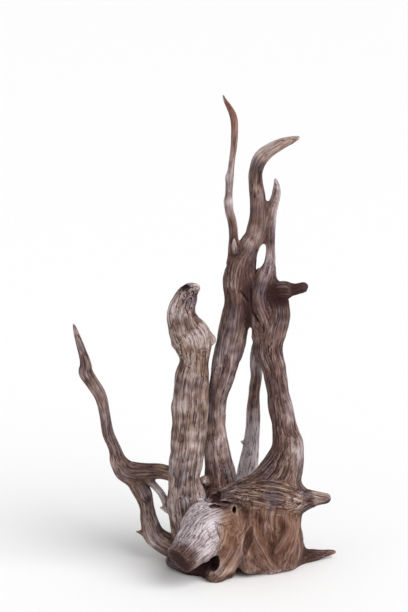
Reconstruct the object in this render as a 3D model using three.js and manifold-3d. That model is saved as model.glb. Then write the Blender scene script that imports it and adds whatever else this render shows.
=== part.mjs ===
// A weathered piece of driftwood: the stump of a small tree with its roots and four upright stems, all one
// piece of wood. Millimetres, +Z up, standing on the floor at z = 0. The wood is built as a set of limbs, each a
// tube of changing oval section along a smooth curve, joined into one solid and sawn flat underneath.
import * as THREE from "three";
import { mergeVertices } from "three/addons/utils/BufferGeometryUtils.js";
import Module from "manifold-3d";

// Driving dimensions.
const SIDES_THICK = 12; // sides of a limb's section
const SIDES_THIN = 8;
const THIN_LIMB = 9; // a limb whose half width never passes this is a thin one
const STEP_PER_WIDTH = 0.9; // length of one step along a limb, as a share of its mean half width
const LONGEST_STEP = 18;
const SHORTEST_STEP = 7;
const SAW_DEPTH = 80; // how far below the floor the saw cut clears
const SAW_REACH = 800;
const WOOD_COLOUR = 0x7d6a5c;

// The directions that a section's second half size can be measured along.
const FRONT_TO_BACK = new THREE.Vector3(0, 1, 0);
const UPWARDS = new THREE.Vector3(0, 0, 1);

// Each limb is a list of stations [x, y, z, half width, half depth]: where the middle of the limb is, how far it
// reaches to each side of its curve as seen from the front, and how far it reaches towards the front and back.
const STEMS = {
  // The thick stem on the left, with a swollen head that ends in a beak.
  hooked_stem: [
    [-10, -5, 22, 37, 38],
    [-20, -22, 68, 32, 34],
    [-27, -32, 108, 30, 28],
    [-30, -33, 141, 24, 24],
    [-26, -33, 178, 26, 25],
    [-22, -32, 216, 26, 26],
    [-21, -30, 259, 27, 26],
    [-19, -28, 293, 26, 26],
    [-15, -27, 320, 23, 24],
    [-16, -27, 342, 27, 26],
    [-20, -28, 359, 31, 28],
    [-29, -29, 375, 26, 25],
    [-34, -30, 391, 22, 23],
    [-33, -31, 406, 20, 20],
    [-27, -32, 420, 17, 17],
    [-20, -34, 430, 13, 12],
    [-10, -36, 436, 6, 6],
  ],
  broken_branch: [
    [-6, -30, 361, 10, 10],
    [5, -32, 361, 8, 8],
    [14, -33, 354, 5, 5],
  ],
  // The tall stem in the middle, and the two branches at its top.
  middle_stem: [
    [36, 5, 63, 38, 34],
    [27, 6, 98, 34, 30],
    [25, 6, 134, 24, 24],
    [20, 4, 171, 20, 21],
    [19, 4, 203, 15, 17],
    [18, 4, 235, 15, 17],
    [23, 4, 269, 16, 18],
    [32, 4, 306, 20, 20],
    [38, 4, 339, 21, 21],
    [46, 4, 375, 21, 21],
    [51, 4, 405, 20, 20],
    [50, 5, 430, 22, 21],
    [51, 6, 455, 21, 20],
    [58, 8, 475, 17, 18],
    [68, 9, 496, 13, 14],
  ],
  horn: [
    [62, 8, 475, 15, 16],
    [73, 9, 502, 12.5, 14],
    [79, 11, 532, 12, 13],
    [80, 12, 559, 12, 12],
    [77, 14, 583, 10.5, 11],
    [77, 15, 603, 10.5, 10],
    [84, 16, 621, 11, 10],
    [97, 17, 633, 10, 9],
    [112, 17, 641, 8.5, 8],
    [127, 17, 647, 6.5, 6],
    [141, 16, 652, 3, 3],
  ],
  whip: [
    [48, 4, 468, 13, 12],
    [45, 2, 490, 9, 9],
    [44, 0, 508, 7, 7],
    [42, -2, 528, 7, 6.5],
    [37, -4, 548, 6.5, 6],
    [37, -6, 569, 5, 5],
    [38, -8, 592, 5.5, 5],
    [41, -8, 619, 4.5, 4.6],
    [44, -7, 642, 5, 5],
    [45, -6, 669, 5.5, 5.5],
    [43, -5, 686, 5.5, 5],
    [37, -4, 699, 4.5, 4],
    [31, -3, 709, 3, 3],
    [28, -2, 717, 1, 1.3],
  ],
  // The stem on the right, its upper fork, and the web and strand that grow across to the middle stem.
  right_stem: [
    [88, -22, 71, 39, 36],
    [103, -26, 111, 36, 34],
    [117, -24, 145, 31, 31],
    [126, -20, 178, 25, 27],
    [123, -16, 209, 20.5, 23],
    [118, -12, 239, 19, 21],
    [111, -8, 272, 17, 19],
    [105, -5, 306, 18.5, 20],
    [97, -2, 334, 22, 21],
    [99, 0, 362, 25, 22],
    [104, 1, 390, 26, 21],
    [101, 2, 415, 23, 20],
    [93, 3, 436, 18, 17],
    [94, 4, 454, 13, 13],
  ],
  right_fork: [
    [91, 3, 433, 15, 15],
    [96, 4, 457, 11, 11],
    [99, 6, 478, 7.5, 8],
    [98, 8, 499, 8, 8],
    [99, 9, 523, 8, 8],
    [102, 10, 547, 8, 8],
    [107, 10, 565, 7, 7],
    [108, 10, 579, 5, 5.5],
    [106, 10, 591, 2, 2],
  ],
  fork_web: [
    [79, 9, 492, 12, 11],
    [88, 10, 522, 11, 10],
    [91, 11, 552, 6, 7],
  ],
  strand: [
    [64, 3, 462, 8, 9],
    [67, -3, 432, 13, 14],
    [73, -6, 392, 14, 15],
    [82, -6, 361, 13.5, 14],
    [90, -4, 332, 9, 11],
  ],
  knot_boss: [
    [96, 2, 409, 13.5, 14],
    [109, -4, 421, 14, 14],
    [122, -10, 427, 12.5, 12],
    [131, -13, 429, 9, 9],
  ],
  knot_stub: [
    [119, -8, 426, 9.5, 9],
    [134, -13, 428, 8, 7],
    [145, -16, 432, 7, 6],
    [152, -18, 434, 5.5, 5],
  ],
  // The slim stem at the back.
  rear_stem: [
    [62, 52, 72, 22, 22],
    [67, 52, 106, 19.5, 20],
    [69, 52, 138, 15, 15],
    [73, 50, 168, 12.5, 13],
    [75, 47, 197, 11.5, 12],
    [76, 44, 227, 10.5, 11],
    [77, 40, 253, 9, 10],
    [80, 34, 283, 9, 10],
    [80, 26, 314, 10, 11],
    [86, 14, 344, 10, 12],
  ],
  rear_thorn: [
    [68, 48, 172, 4.5, 5],
    [61, 47, 174, 3.5, 3.5],
    [57, 46, 177, 1.5, 1.5],
  ],
};

const ROOTS = {
  upper_spur: [
    [18, -38, 113, 6, 10],
    [42, -48, 121, 13.5, 22],
    [69, -54, 124, 21, 32],
    [99, -56, 121, 26, 38],
    [128, -54, 116, 22, 32],
    [149, -50, 114, 14, 20],
    [169, -47, 113, 9, 12],
    [188, -44, 113, 5, 6],
  ],
  lower_spur: [
    [55, -30, 11, 17, 30],
    [89, -28, 10, 17, 30],
    [122, -20, 9, 14, 26],
    [151, -8, 8, 11, 16],
    [176, 2, 8, 8, 10],
    [203, 12, 9, 2.5, 3],
  ],
  // The foot of the right stem, which sweeps across the stump to the left.
  right_sweep: [
    [124, -24, 172, 22, 26],
    [112, -34, 150, 23, 28],
    [92, -44, 134, 19, 26],
    [64, -48, 122, 13, 20],
    [32, -44, 114, 7, 12],
  ],
  // The solid heart of the stump, where every limb meets.
  burl: [
    [2, 10, 28, 42, 50],
    [44, 8, 30, 60, 66],
    [89, 4, 30, 62, 62],
    [125, 0, 30, 44, 44],
  ],
  // The bleached lobe at the front, which ends in a sawn stub.
  front_lobe: [
    [58, -28, 89, 25, 26],
    [30, -54, 86, 35, 30],
    [6, -82, 77, 36, 30],
    [-15, -106, 60, 30, 25],
    [-37, -128, 44, 22, 20],
  ],
  front_foot: [
    [62, -50, 103, 21, 20],
    [53, -70, 77, 22, 20],
    [43, -80, 45, 20, 19],
    [30, -86, 22, 18, 18],
    [14, -92, 5, 15, 15],
  ],
  // The low edge of the stump on the floor, which closes the cave under the lobe.
  cave_sill: [
    [-42, -30, 12, 14, 22],
    [-22, -48, 9, 13, 24],
    [5, -58, 9, 13, 26],
    [40, -60, 12, 15, 26],
  ],
  middle_foot: [
    [93, -56, 105, 24, 20],
    [87, -62, 72, 24, 20],
    [75, -62, 39, 19.5, 19],
    [63, -62, 17, 15, 18],
  ],
  right_foot: [
    [127, -44, 110, 21, 22],
    [124, -40, 71, 20, 24],
    [127, -36, 36, 20, 22],
    [122, -34, 12, 18, 22],
  ],
  // The long thin root that leans out on the left, and the strut that ties it back to the stump.
  left_arm: [
    [-198, 26, 367, 2, 2],
    [-193, 26, 349, 5, 5],
    [-186, 25, 326, 7, 7],
    [-180, 24, 305, 9, 8],
    [-180, 23, 291, 11, 9],
    [-170, 22, 275, 10, 9],
    [-158, 20, 255, 9.5, 9],
    [-152, 18, 229, 8.5, 8.5],
    [-147, 15, 200, 9.5, 9],
    [-137, 12, 175, 9.5, 10],
    [-130, 9, 153, 13.5, 12],
    [-116, 6, 139, 18, 13],
    [-90, 2, 140, 14, 12],
    [-67, -4, 143, 11.5, 11],
    [-39, -18, 141, 11.5, 12],
  ],
  arm_strut: [
    [-120, 8, 143, 11, 10],
    [-105, 5, 124, 13, 12],
    [-94, 2, 107, 14, 12],
    [-87, 0, 83, 11.5, 11],
    [-84, -1, 63, 14, 12],
    [-76, -2, 40, 17, 14],
    [-58, -4, 27, 17, 16],
    [-34, -6, 20, 18, 20],
  ],
  arm_twig: [
    [-89, 1, 131, 4.5, 5],
    [-76, -4, 121, 4, 4],
    [-66, -10, 111, 4, 4],
    [-59, -15, 99, 4.5, 5],
    [-54, -20, 87, 7, 7],
  ],
  twig_thorn: [
    [-49, -20, 89, 7.5, 7],
    [-59, -17, 88, 4.5, 5],
    [-68, -14, 89, 1, 1.5],
  ],
  strut_thorn: [
    [-80, 0, 42, 9, 9],
    [-92, 2, 43, 5.5, 6],
    [-105, 4, 44, 1, 1.5],
  ],
  // The flesh of the stump: what joins the spur, the sweep and the feet into one face.
  spur_shoulder: [
    [128, -20, 194, 19.5, 24],
    [128, -30, 163, 19.5, 24],
    [127, -42, 134, 18, 24],
    [146, -49, 113, 14.5, 17],
    [162, -48, 112.5, 10.5, 13],
  ],
  sweep_crest: [
    [118, -28, 168, 18, 22],
    [92, -40, 144, 17, 22],
    [66, -46, 129, 14, 20],
    [36, -45, 118, 8, 12],
  ],
  stump_face: [
    [94, -60, 116, 37, 30],
    [91, -58, 90, 41, 32],
    [93, -46, 52, 43, 35],
    [95, -40, 16, 43, 32],
  ],
  face_ridge: [
    [132, -62, 96, 9, 10],
    [134, -68, 72, 9, 10],
    [128, -66, 44, 9, 9],
    [118, -60, 20, 8, 9],
  ],
  draped_root: [
    [44, -72, 92, 9, 9],
    [52, -76, 64, 10, 9],
    [62, -77, 38, 9, 9],
    [74, -74, 14, 10, 10],
  ],
  toe: [
    [40, -78, 10, 10, 12],
    [18, -80, 7, 10, 11],
    [2, -76, 5, 8, 9],
  ],
  // The rounded back of the lobe.
  lobe_dome: [
    [12, -66, 106, 16, 14],
    [7, -72, 97, 30, 22],
    [3, -80, 83, 37, 30],
    [-3, -89, 67, 37, 30],
    [-15, -103, 55, 30, 23],
  ],
};

// Roots that run straight back from the stump, so their second half size is their height.
const BACK_ROOTS = {
  left_back_root: [
    [14, 28, 34, 40, 38],
    [-6, 72, 18, 28, 30],
    [-29, 104, 6, 19, 22],
    [-45, 132, -5, 9.5, 12],
  ],
  right_back_root: [
    [88, 30, 34, 40, 38],
    [106, 80, 16, 26, 29],
    [127, 112, 2, 16, 19],
    [140, 134, -6, 8, 10],
  ],
};

const wasm = await Module();
wasm.setup();

/** A closed geometry as a manifold-3d solid. */
function solidFrom(geometry) {
  const bare = geometry.clone();
  bare.deleteAttribute("normal");
  bare.deleteAttribute("uv");
  const merged = mergeVertices(bare, 1e-3);
  return new wasm.Manifold(
    new wasm.Mesh({
      numProp: 3,
      vertProperties: new Float32Array(merged.attributes.position.array),
      triVerts: new Uint32Array(merged.index.array),
    }),
  );
}

/** A manifold-3d solid as a geometry that a mesh can hold. */
function geometryFrom(solid) {
  const mesh = solid.getMesh();
  const geometry = new THREE.BufferGeometry();
  geometry.setAttribute("position", new THREE.BufferAttribute(mesh.vertProperties, 3));
  geometry.setIndex(new THREE.BufferAttribute(mesh.triVerts, 1));
  geometry.computeVertexNormals();
  return geometry;
}

/** One limb: a cylinder whose rings are moved onto a curve through the stations and given their oval sizes. */
function limbGeometry(stations, depthDirection) {
  const centreline = new THREE.CatmullRomCurve3(
    stations.map(([x, y, z]) => new THREE.Vector3(x, y, z)),
  );
  const sizes = new THREE.SplineCurve(
    stations.map(([, , , width, depth]) => new THREE.Vector2(width, depth)),
  );
  const widths = stations.map(([, , , width]) => width);
  const meanWidth = widths.reduce((sum, width) => sum + width, 0) / widths.length;
  const step = THREE.MathUtils.clamp(meanWidth * STEP_PER_WIDTH, SHORTEST_STEP, LONGEST_STEP);
  const steps = Math.max(stations.length - 1, Math.round(centreline.getLength() / step));
  const sides = Math.max(...widths) > THIN_LIMB ? SIDES_THICK : SIDES_THIN;

  const geometry = new THREE.CylinderGeometry(1, 1, 1, sides, steps);
  const position = geometry.getAttribute("position");
  for (let i = 0; i < position.count; i++) {
    const along = position.getY(i) + 0.5;
    const tangent = centreline.getTangent(along);
    const depthAxis = depthDirection
      .clone()
      .addScaledVector(tangent, -depthDirection.dot(tangent))
      .normalize();
    const widthAxis = new THREE.Vector3().crossVectors(tangent, depthAxis);
    const size = sizes.getPoint(along);
    const point = centreline
      .getPoint(along)
      .addScaledVector(widthAxis, position.getX(i) * size.x)
      .addScaledVector(depthAxis, position.getZ(i) * size.y);
    position.setXYZ(i, point.x, point.y, point.z);
  }
  return geometry;
}

/** Everything below the floor, which the saw cut takes away. */
function sawCut() {
  const block = new THREE.BoxGeometry(SAW_REACH, SAW_REACH, SAW_DEPTH);
  block.translate(0, 0, -SAW_DEPTH / 2);
  return block;
}

/** The solid without the small voids that its limbs close in. */
function outerShell(solid) {
  const shells = solid.decompose();
  return shells.reduce((largest, shell) => (shell.volume() > largest.volume() ? shell : largest));
}

/** The whole piece of wood, with its origin in the middle of its base. */
function driftwoodGeometry() {
  const limbs = [
    ...Object.values({ ...STEMS, ...ROOTS }).map((stations) => limbGeometry(stations, FRONT_TO_BACK)),
    ...Object.values(BACK_ROOTS).map((stations) => limbGeometry(stations, UPWARDS)),
  ];
  const grown = limbs.map(solidFrom).reduce((whole, limb) => whole.add(limb));
  const sawn = grown.subtract(solidFrom(sawCut()));
  const geometry = geometryFrom(outerShell(sawn));
  geometry.computeBoundingBox();
  const middle = geometry.boundingBox.getCenter(new THREE.Vector3());
  return geometry.translate(-middle.x, -middle.y, 0);
}

const wood = new THREE.MeshStandardMaterial({ color: WOOD_COLOUR, roughness: 0.85, metalness: 0 });

const driftwood = new THREE.Mesh(driftwoodGeometry(), wood);
driftwood.name = "driftwood";

const part = new THREE.Group();
part.add(driftwood);

export default part;
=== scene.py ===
"""The looks of a piece of driftwood: a stump with roots and four upright stems, all one piece of wood.

The wood is modelled limb by limb, grown together into one skin, hollowed, furrowed along its grain and sawn
flat underneath. Its finish is worn by the sea: brown heartwood, bleached crests, rusty crotches and dark
hollows; the darkness of the hollows, creases and crevices is painted shade, and a few stains paint shadows,
highlights and light. Lengths in the classes are millimetres, and a mesh holds metres.
"""

from __future__ import annotations

import logging
import math
from dataclasses import dataclass
from enum import Enum
from itertools import product
from typing import Any, Iterable, Sequence

import bpy
import numpy as np
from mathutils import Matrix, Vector


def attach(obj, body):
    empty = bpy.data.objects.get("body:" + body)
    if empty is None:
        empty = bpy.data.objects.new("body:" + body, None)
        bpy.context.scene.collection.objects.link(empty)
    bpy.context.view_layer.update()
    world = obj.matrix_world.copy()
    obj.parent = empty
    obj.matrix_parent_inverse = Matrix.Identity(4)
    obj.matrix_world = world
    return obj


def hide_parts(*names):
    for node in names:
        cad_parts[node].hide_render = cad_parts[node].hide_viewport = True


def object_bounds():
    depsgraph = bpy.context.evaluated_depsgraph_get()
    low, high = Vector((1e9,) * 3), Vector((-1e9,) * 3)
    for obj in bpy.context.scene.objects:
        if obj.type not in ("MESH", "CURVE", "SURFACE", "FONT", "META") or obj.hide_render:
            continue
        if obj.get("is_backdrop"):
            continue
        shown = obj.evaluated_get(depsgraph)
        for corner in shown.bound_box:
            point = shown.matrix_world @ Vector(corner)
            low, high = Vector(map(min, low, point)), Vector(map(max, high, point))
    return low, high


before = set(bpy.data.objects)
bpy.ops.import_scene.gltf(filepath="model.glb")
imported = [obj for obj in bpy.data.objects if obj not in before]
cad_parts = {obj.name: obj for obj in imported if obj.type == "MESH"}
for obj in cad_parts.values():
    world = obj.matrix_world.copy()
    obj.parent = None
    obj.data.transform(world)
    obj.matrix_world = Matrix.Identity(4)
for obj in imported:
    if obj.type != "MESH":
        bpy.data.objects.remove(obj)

MM = 0.001
NODE = "driftwood"
STRANDS = 3
HEART = np.array([2.06, -2.28, 0.0])  # the middle of the base, in the limbs' own measure
FAR = 1000.0

log = logging.getLogger("driftwood")


class Facing(Enum):
    """The direction along which the second half size of a limb's section is measured."""

    FRONT_TO_BACK = (0.0, 1.0, 0.0)
    UPWARDS = (0.0, 0.0, 1.0)


class Tip(Enum):
    """How a limb ends."""

    WORN = "worn round"
    SAWN = "sawn flat"


@dataclass(frozen=True)
class Weather:
    """What sun, sea and iron have done to a stretch of wood, each from 0 to 1; some stains use it to paint
    light and shade.
    """

    bleach_and_light: float = 0.25
    rust: float = 0.1
    dark: float = 0.1
    tan: float = 0.2

    def as_row(self) -> list[float]:
        """The four amounts in order."""
        return [self.bleach_and_light, self.rust, self.dark, self.tan]


@dataclass(frozen=True)
class Limb:
    """One limb of the wood, a tube of changing oval section along a smooth course.

    Attributes:
        name: what the limb is.
        strand: which of the three strands of grain it carries.
        stations: (x, y, z, half width, half depth) down its length.
        weather: its finish.
        facing: what its half depth is measured along.
        fillet: how softly it grows out of its neighbours.
        twist: degrees that its grain turns in each 100 mm.
        figure: how deep its furrows and cracks are, as a share of the usual.
        tip: how its far end is finished.
    """

    name: str
    strand: int
    stations: Sequence[Sequence[float]]
    weather: Weather = Weather()
    facing: Facing = Facing.FRONT_TO_BACK
    fillet: float = 9.0
    twist: float = 12.0
    figure: float = 1.0
    tip: Tip = Tip.WORN


HOOKED = Weather(bleach_and_light=0.24, rust=0.12, dark=0.15, tan=0.5)
HEARTWOOD = Weather(bleach_and_light=0.1, rust=0.3, dark=0.36, tan=0.15)
SWEPT = Weather(bleach_and_light=0.12, rust=0.2, dark=0.3, tan=0.4)
SKIRT = Weather(bleach_and_light=0.08, rust=0.45, dark=0.3, tan=0.35)
PALE = Weather(bleach_and_light=0.85, rust=0.05, dark=0.05, tan=0.1)
KNOTTED = Weather(bleach_and_light=0.0, rust=0.6, dark=0.64, tan=0.0)
ROOTY = Weather(bleach_and_light=0.14, rust=0.14, dark=0.26, tan=0.35)

STEMS = (
    Limb("hooked stem", 0, (
        (-10, -5, 22, 37, 38), (-20, -22, 68, 32, 34), (-27, -32, 108, 30, 28), (-30, -33, 141, 24, 24),
        (-26, -33, 178, 26, 25), (-22, -32, 216, 26, 26), (-21, -30, 259, 27, 26), (-19, -28, 293, 26, 26),
        (-15, -27, 320, 23, 24), (-16, -27, 342, 27, 26), (-20, -28, 359, 31, 28), (-29, -29, 375, 26, 25),
        (-34, -30, 391, 22, 23), (-33, -31, 406, 20, 20), (-27, -32, 420, 17, 17), (-20, -34, 430, 13, 12),
        (-10, -36, 436, 6, 6),
    ), HOOKED, fillet=5.0, twist=4.0),
    Limb("broken branch", 2, (
        (-6, -30, 361, 10, 10), (5, -32, 361, 8, 8), (14, -33, 354, 5, 5),
    ), HOOKED, fillet=5.0),
    Limb("branch collar", 1, (
        (0, -31, 358, 9, 9), (8, -32, 357, 8.5, 9), (12, -33, 355, 7.5, 8),
    ), HOOKED, fillet=3.0),
    Limb("middle stem", 1, (
        (36, 5, 63, 38, 34), (27, 6, 98, 34, 30), (25, 6, 134, 24, 24), (20, 4, 171, 20, 21),
        (19, 4, 203, 15, 17), (18, 4, 235, 15, 17), (23, 4, 269, 16, 18), (32, 4, 306, 20, 20),
        (38, 4, 339, 21, 21), (46, 4, 375, 21, 21), (51, 4, 405, 20, 20), (50, 5, 430, 22, 21),
        (51, 6, 455, 21, 20), (58, 8, 475, 17, 18), (68, 9, 496, 13, 14),
    ), HEARTWOOD, fillet=5.0, twist=-8.0),
    Limb("horn", 2, (
        (62, 8, 475, 15, 16), (73, 9, 502, 12.5, 14), (79, 11, 532, 12, 13), (80, 12, 559, 12, 12),
        (77, 14, 583, 10.5, 11), (77, 15, 603, 10.5, 10), (84, 16, 621, 11, 10), (97, 17, 633, 10, 9),
        (112, 17, 641, 8.5, 8), (127, 17, 647, 6.5, 6), (141, 16, 652, 3, 3),
    ), Weather(0.2, 0.35, 0.15, 0.3), fillet=6.0, figure=0.8),
    Limb("whip", 0, (
        (48, 4, 468, 13, 12), (45, 2, 490, 9, 9), (44, 0, 508, 7, 7), (42, -2, 528, 7, 6.5),
        (37, -4, 548, 6.5, 6), (37, -6, 569, 5, 5), (38, -8, 592, 5.5, 5), (41, -8, 619, 4.5, 4.6),
        (44, -7, 642, 5, 5), (45, -6, 669, 5.5, 5.5), (43, -5, 686, 5.5, 5), (37, -4, 699, 4.5, 4),
        (31, -3, 709, 3, 3), (28, -2, 717, 1, 1.3),
    ), Weather(0.2, 0.6, 0.2, 0.1), fillet=5.0, figure=0.6),
    Limb("whip nub", 2, (
        (46, -9, 484, 4.2, 5), (45, -12, 494, 4.4, 5), (44.5, -11, 504, 2, 2.5),
    ), Weather(0.25, 0.15, 0.25, 0.1), fillet=4.0),
    Limb("whip knots", 2, (
        (40, -7, 604, 3, 3), (37, -7, 596, 5.8, 6), (37, -7, 586, 4, 4), (36, -5, 570, 4, 4),
        (35.5, -5, 560, 6.2, 6), (38, -4, 548, 4, 4),
    ), Weather(0.45, 0.3, 0.2, 0.2), fillet=4.0, figure=0.4),
    Limb("right stem", 2, (
        (88, -22, 71, 39, 36), (103, -26, 111, 36, 34), (117, -24, 145, 31, 31), (126, -20, 178, 25, 27),
        (123, -16, 209, 20.5, 23), (118, -12, 239, 19, 21), (111, -8, 272, 17, 19), (105, -5, 306, 18.5, 20),
        (97, -2, 334, 22, 21), (99, 0, 362, 25, 22), (104, 1, 390, 26, 21), (101, 2, 415, 23, 20),
        (93, 3, 436, 18, 17), (94, 4, 454, 13, 13),
    ), HEARTWOOD, twist=5.0),
    Limb("right fork", 0, (
        (91, 3, 433, 15, 15), (96, 4, 457, 11, 11), (99, 6, 478, 7.5, 8), (98, 8, 499, 8, 8),
        (99, 9, 523, 8, 8), (102, 10, 547, 8, 8), (107, 10, 565, 7, 7), (108, 10, 579, 5, 5.5),
        (106, 10, 591, 2, 2),
    ), Weather(0.3, 0.2, 0.2, 0.15), fillet=6.0),
    Limb("fork web", 1, (
        (79, 9, 492, 12, 11), (88, 10, 522, 11, 10), (91, 11, 552, 6, 7),
    ), HEARTWOOD, fillet=6.0),
    Limb("strand", 0, (
        (64, 3, 462, 8, 9), (67, -3, 432, 13, 14), (73, -6, 392, 14, 15), (82, -6, 361, 13.5, 14),
        (90, -4, 332, 9, 11),
    ), HEARTWOOD, fillet=5.0),
    Limb("eye rim", 0, (
        (69, 9, 500, 8.5, 9), (71, 9, 482, 8.5, 9), (70, 7, 464, 8, 9), (67, 3, 448, 8, 9),
    ), HEARTWOOD, fillet=5.0),
    Limb("stem flesh", 0, (
        (57, 1, 402, 14, 14), (55.5, 2, 376, 13, 14), (51, 3, 350, 13, 14), (45, 3, 322, 12, 13),
    ), HEARTWOOD, fillet=5.0),
    Limb("fold", 2, (
        (98, 5, 490, 5, 5), (97, 1, 474, 7.5, 7.5), (93, -3, 457, 10, 10), (86, -8, 436, 11, 11),
        (82, -11, 419, 12, 11), (85, -12, 402, 12, 11), (91, -12, 386, 12, 11), (96, -11, 370, 11, 10),
        (93, -11, 356, 7, 8),
    ), Weather(0.32, 0.2, 0.1, 0.25), fillet=5.0),
    Limb("knot boss", 1, (
        (96, 2, 409, 13.5, 14), (109, -4, 421, 14, 14), (122, -10, 427, 12.5, 12), (131, -13, 429, 9, 9),
    ), KNOTTED, fillet=5.0, figure=1.5),
    Limb("knot stub", 0, (
        (119, -8, 426, 9.5, 9), (134, -13, 428, 8, 7), (145, -16, 432, 7, 6), (152, -18, 434, 5.5, 5),
    ), Weather(0.05, 0.05, 0.95, 0.0), fillet=3.0),
    Limb("knot bulge", 1, (
        (104, -8, 424, 10, 10), (117, -13, 427, 14, 12), (125, -15, 427, 12, 11),
    ), KNOTTED, fillet=4.0, figure=1.4),
    Limb("stub end", 2, (
        (134, -14, 428, 8, 7.5), (145, -17, 431, 8, 7.5), (151, -18, 433, 7.5, 7),
    ), Weather(0.05, 0.05, 0.9, 0.0), fillet=3.0, tip=Tip.SAWN),
    Limb("rear stem", 0, (
        (62, 52, 72, 22, 22), (67, 52, 106, 19.5, 20), (69, 52, 138, 15, 15), (73, 50, 168, 12.5, 13),
        (75, 47, 197, 11.5, 12), (76, 44, 227, 10.5, 11), (77, 40, 253, 9, 10), (80, 34, 283, 9, 10),
        (80, 26, 314, 10, 11), (86, 14, 344, 10, 12),
    ), Weather(0.65, 0.05, 0.15, 0.1), fillet=8.0),
    Limb("rear thorn", 1, (
        (68, 48, 172, 4.5, 5), (61, 47, 174, 3.5, 3.5), (57, 46, 177, 1.5, 1.5),
    ), HEARTWOOD, fillet=2.0, figure=0.3),
    Limb("crotch knob", 2, (
        (6, -6, 129, 9, 9), (0, -16, 132, 8, 8), (-2, -22, 133, 5, 5),
    ), HEARTWOOD, fillet=4.0),
)

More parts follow.
